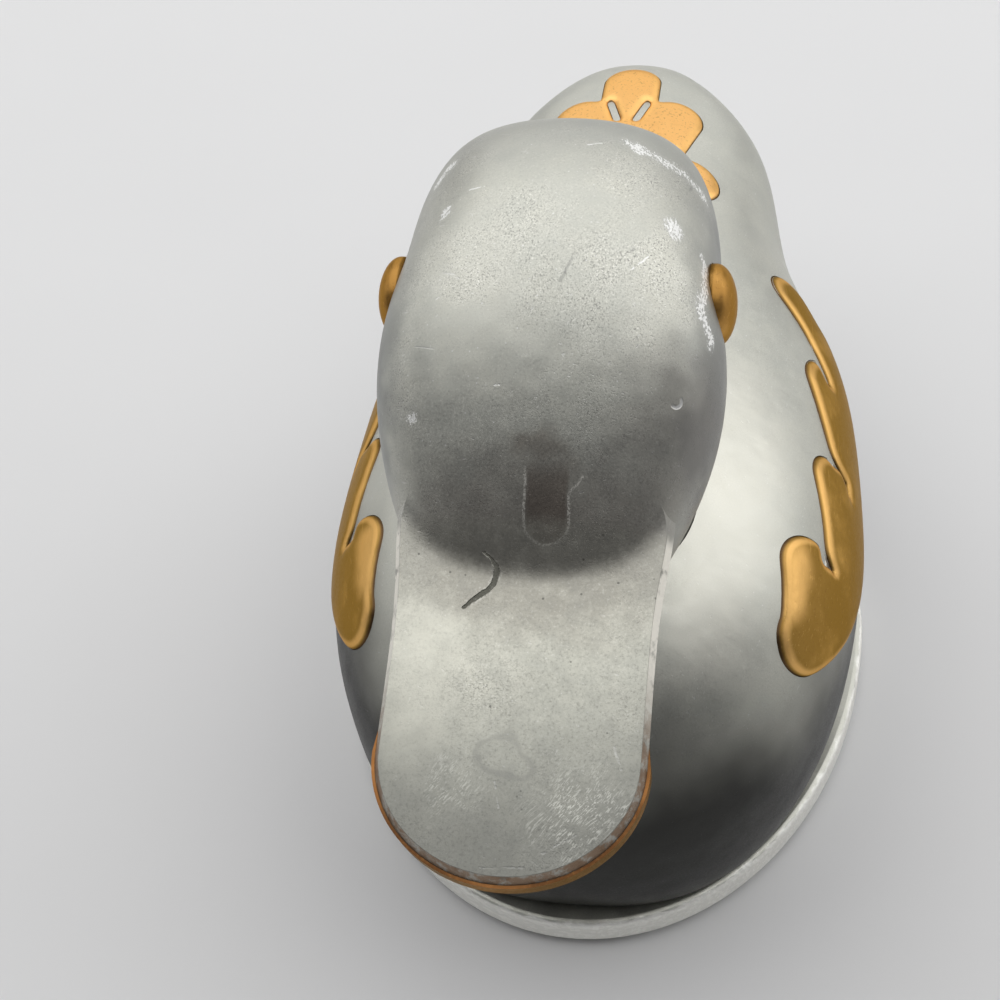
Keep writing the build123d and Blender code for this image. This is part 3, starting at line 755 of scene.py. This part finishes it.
def closed_rings(rows):
    """Points and faces of a closed surface through rings; the first and the last ring are single points."""
    count = rows.shape[1]
    points = np.concatenate([rows[:1, 0], rows[1:-1].reshape(-1, 3), rows[-1:, 0]])
    step = np.arange(count)
    after = np.roll(step, -1)
    start = 1 + np.arange(len(rows) - 3)[:, None] * count
    quads = np.stack([start + step, start + after, start + count + after, start + count + step], -1)
    last = 1 + (len(rows) - 3) * count
    first_fan = np.stack([0 * step, after + 1, step + 1], -1)
    last_fan = np.stack([0 * step + len(points) - 1, last + step, last + after], -1)
    return points, quads.reshape(-1, 4).tolist() + first_fan.tolist() + last_fan.tolist()


def eye(name, node_name, side, material):
    """A brass eye turned round its own line: a stem, a flat seat, and a dome in a quarter ellipse."""
    low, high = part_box(node_name)
    radius = (high[1] - low[1]) / 2.0
    turn = np.linspace(0.0, np.pi / 2, eye_dome_rings)
    along = np.concatenate([[-eye_stem_length, -eye_stem_length, 0.0, 0.0],
                            eye_dome_start + (eye_rise - eye_dome_start) * np.sin(turn)])
    reach = np.concatenate([[0.0, eye_stem_radius, eye_stem_radius, radius], radius * np.cos(turn)])
    look = np.array([side * math.cos(eye_tilt), 0.0, math.sin(eye_tilt)])
    seat = np.array([max(high[0], -low[0]) * side, (low[1] + high[1]) / 2.0, (low[2] + high[2]) / 2.0])
    seat[0] -= look[0] * eye_rise
    angle = np.linspace(0.0, 2.0 * np.pi, eye_points, endpoint=False)
    ahead = np.array([0.0, 1.0, 0.0])
    spoke = np.cos(angle)[:, None] * ahead + np.sin(angle)[:, None] * np.cross(look, ahead)
    rows = seat + along[:, None, None] * look + reach[:, None, None] * spoke
    points, faces = closed_rings(rows)
    new_piece(name, points, faces, "brass", material, node_name)


def felt_pad(name, material):
    """A felt pad cut to two half ovals.

    Its rings run from the middle of its underside, round its edge, to the middle of its top. Products of
    sines make its cut and its underside a little uneven.
    """
    low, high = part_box("felt_pad")
    angle = np.linspace(0.0, 2.0 * np.pi, felt_points, endpoint=False)
    reach = np.where(np.sin(angle) < 0.0, felt_widest - low[1], high[1] - felt_widest)
    outline = np.stack([high[0] * np.cos(angle), reach * np.sin(angle)], -1)
    long_wave, slow_wave, short_wave = (waves * angle for waves in felt_cut_waves)
    cut = felt_cut_wobble * (np.sin(long_wave) * np.sin(slow_wave + 1.0) + np.sin(short_wave) * 0.5)
    outline *= (1.0 - (felt_cut_wobble * 1.5 - cut) / np.linalg.norm(outline, axis=1))[:, None]
    turn = np.linspace(0.0, np.pi / 2, felt_edge_rings)
    sizes = np.concatenate([np.linspace(0.0, 1.0, felt_rings, endpoint=False), 1.0 + 0.0 * turn])
    insets = np.concatenate([np.full(felt_rings, felt_edge_round), felt_edge_round * (1.0 - np.sin(turn))])
    heights = np.concatenate([np.zeros(felt_rings), felt_edge_round * (1.0 - np.cos(turn))])
    sizes, insets = np.concatenate([sizes, sizes[::-1]]), np.concatenate([insets, insets[::-1]])
    heights = np.concatenate([heights, (high[2] - heights)[::-1]])
    shrink = 1.0 - insets[:, None] / np.linalg.norm(outline, axis=1)[None]
    rows = np.zeros((len(sizes), len(angle), 3))
    rows[:, :, :2] = outline[None] * (sizes[:, None] * shrink)[:, :, None]
    ripple = np.sin(felt_face_waves[0] * rows[:, :, 0]) * np.sin(felt_face_waves[1] * rows[:, :, 1] + 0.5)
    rows[:, :, 1] += felt_widest
    under = (sizes < 1.0) & (heights == 0.0)
    rows[:, :, 2] = heights[:, None] + under[:, None] * felt_face_wobble * (1.0 + ripple)
    points, faces = closed_rings(rows)
    piece = new_piece(name, points, faces, "felt", material, "felt_pad")


# Finishes on the CAD pieces.
finishes = {
    "head_casting": pewter("pewter_head", head_marks, pitting=1.0),
    "body_shell": pewter("pewter_body", body_marks, pitting=0.3),
    "base_plate": pewter("pewter_rim", rim_marks, pitting=0.3),
    "lower_bill": brass("brass_bill", bill_brass_bright, bill_brass_brown, tarnish=0.6),
    "wing_inlay_left": brass("brass_wing", wing_brass_bright, wing_brass_brown, tarnish=0.7, inlaid=True),
    "tail_inlay": brass("brass_tail", tail_brass_bright, tail_brass_brown, tarnish=0.2, inlaid=True),
    "eye_left": brass("brass_eye", eye_brass_bright, eye_brass_brown, tarnish=0.7),
    "neck_stud": steel("steel_fasteners"),
    "felt_pad": felt("green_felt"),
}
finishes["wing_inlay_right"] = finishes["wing_inlay_left"]
finishes["eye_right"] = finishes["eye_left"]
for fastener in ("neck_washer", "neck_nut", "base_screws"):
    finishes[fastener] = finishes["neck_stud"]
for node_name, node in nodes.items():
    node.data.materials.clear()
    node.data.materials.append(finishes[node_name])

# Pieces that take the place of CAD ones: the pillowed inlays, the eyes and the felt.
inlay("left_wing_brass", "wing_inlay_left", axis=0, sign=1, material=finishes["wing_inlay_left"])
inlay("right_wing_brass", "wing_inlay_right", axis=0, sign=-1, material=finishes["wing_inlay_right"])
inlay("tail_brass", "tail_inlay", axis=2, sign=1, material=finishes["tail_inlay"])
eye("left_eye_brass", "eye_left", side=1, material=finishes["eye_left"])
eye("right_eye_brass", "eye_right", side=-1, material=finishes["eye_right"])
felt_pad("felt_under_base", finishes["felt_pad"])

# Stage: floor, soft lights, camera.
floor_size = 3.0
bpy.ops.mesh.primitive_plane_add(size=floor_size, location=(0.0, 0.0, 0.0))
floor = bpy.context.object
floor.name = "floor"
floor.data.materials.append(floor_finish("pale_floor"))


def soft_light(name, place, aim, width, depth, brightness):
    """A soft box at a place, turned to face a point. A mirror that faces it would show its brightness."""
    lamp = bpy.data.lights.new(name, "AREA")
    lamp.shape = "RECTANGLE"
    lamp.size = width
    lamp.size_y = depth
    lamp.energy = brightness * math.pi * width * depth
    holder = bpy.data.objects.new(name, lamp)
    holder.location = place
    facing = Vector(aim) - Vector(place)
    holder.rotation_euler = facing.to_track_quat("-Z", "Y").to_euler()
    bpy.context.scene.collection.objects.link(holder)


duck_middle = (0.0, 0.0, 0.05)
soft_light("light_overhead", (0.0, 0.42, 0.95), (0.0, 0.42, 0.0), width=2.6, depth=1.7, brightness=1.3)
soft_light("light_right", (1.30, 0.55, 0.48), duck_middle, width=1.2, depth=0.8, brightness=1.4)
soft_light("light_left", (-1.30, 0.45, 0.45), duck_middle, width=1.2, depth=0.7, brightness=0.9)
soft_light("light_back", (0.0, 1.45, 0.50), duck_middle, width=2.0, depth=0.7, brightness=1.1)

world = bpy.data.worlds.new("studio")
world.use_nodes = True
world.node_tree.nodes["Background"].inputs["Color"].default_value = room_grey
bpy.context.scene.world = world

sine, cosine = math.sin(look_azimuth), math.cos(look_azimuth)
backward = Vector((sine * math.cos(look_down), -cosine * math.cos(look_down), math.sin(look_down)))
level = Vector((cosine, sine, 0.0))
upward = level.cross(-backward)
across = math.cos(look_roll) * level + math.sin(look_roll) * upward
upward = math.cos(look_roll) * upward - math.sin(look_roll) * level
view = bpy.data.cameras.new("photo_view")
view.lens = lens_mm
view.sensor_width = sensor_mm
view.clip_start = nearest_shown
camera = bpy.data.objects.new("photo_view", view)
camera.matrix_world = Matrix((across, upward, backward)).transposed().to_4x4()
camera.location = look_at + look_distance * backward
bpy.context.scene.collection.objects.link(camera)
bpy.context.scene.camera = camera
bpy.context.scene.view_settings.view_transform = "Standard"
